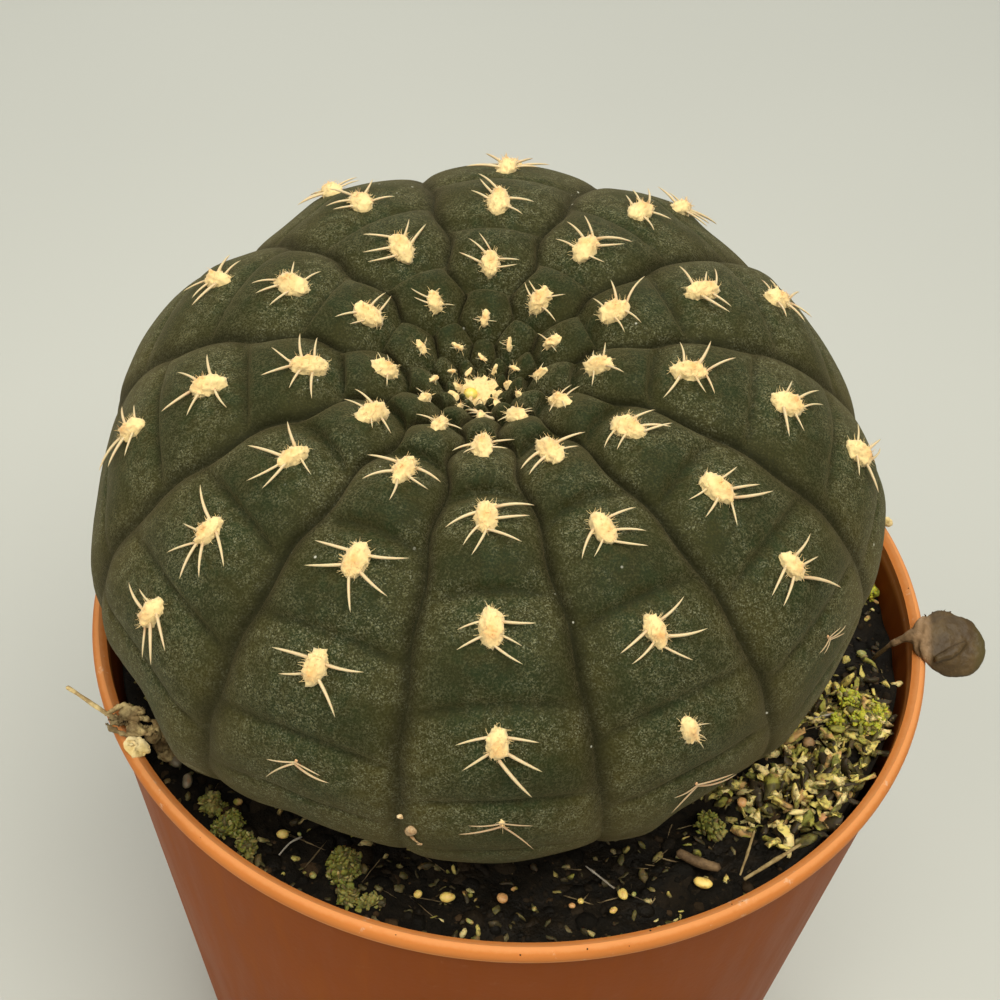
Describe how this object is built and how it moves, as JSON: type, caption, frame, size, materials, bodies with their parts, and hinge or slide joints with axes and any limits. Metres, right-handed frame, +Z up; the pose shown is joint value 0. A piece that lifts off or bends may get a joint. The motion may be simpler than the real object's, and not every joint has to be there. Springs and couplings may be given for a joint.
{
  "type": "potted cactus",
  "caption": "Flat, round ribbed chin cactus with wool pads and short spines, growing in a peat and grit bed in a round tapered plastic nursery pot.",
  "frame": {"origin": "middle of the pot's underside, on the surface that the pot stands on", "axes": "+Z up along the pot's axis, -Y towards the side to which the cactus leans and from which it is seen, +X to that viewer's right"},
  "size_m": [0.0906, 0.085, 0.1107],
  "materials": {
    "pot_plastic": "thin orange-brown plastic, half matte, a little dusty on the rim",
    "soil": null,
    "cactus_skin": "matte grey-green skin with fine pale speckle, cream wool pads and ivory spines",
    "dry_fruit": "dry grey-brown leathery husk with fine ridges",
    "dry_flower": "shrivelled straw-brown petals, matte",
    "straw": "dry straw, slightly glossy",
    "twig": "rough brown bark"
  },
  "bodies": {
    "root": {"pot": "pot_plastic", "soil": "soil", "cactus": "cactus_skin", "dry_fruit": "dry_fruit", "dry_flower": "dry_flower", "straw_long": "straw", "straw_short": "straw", "twig": "twig"}
  },
  "joints": []
}
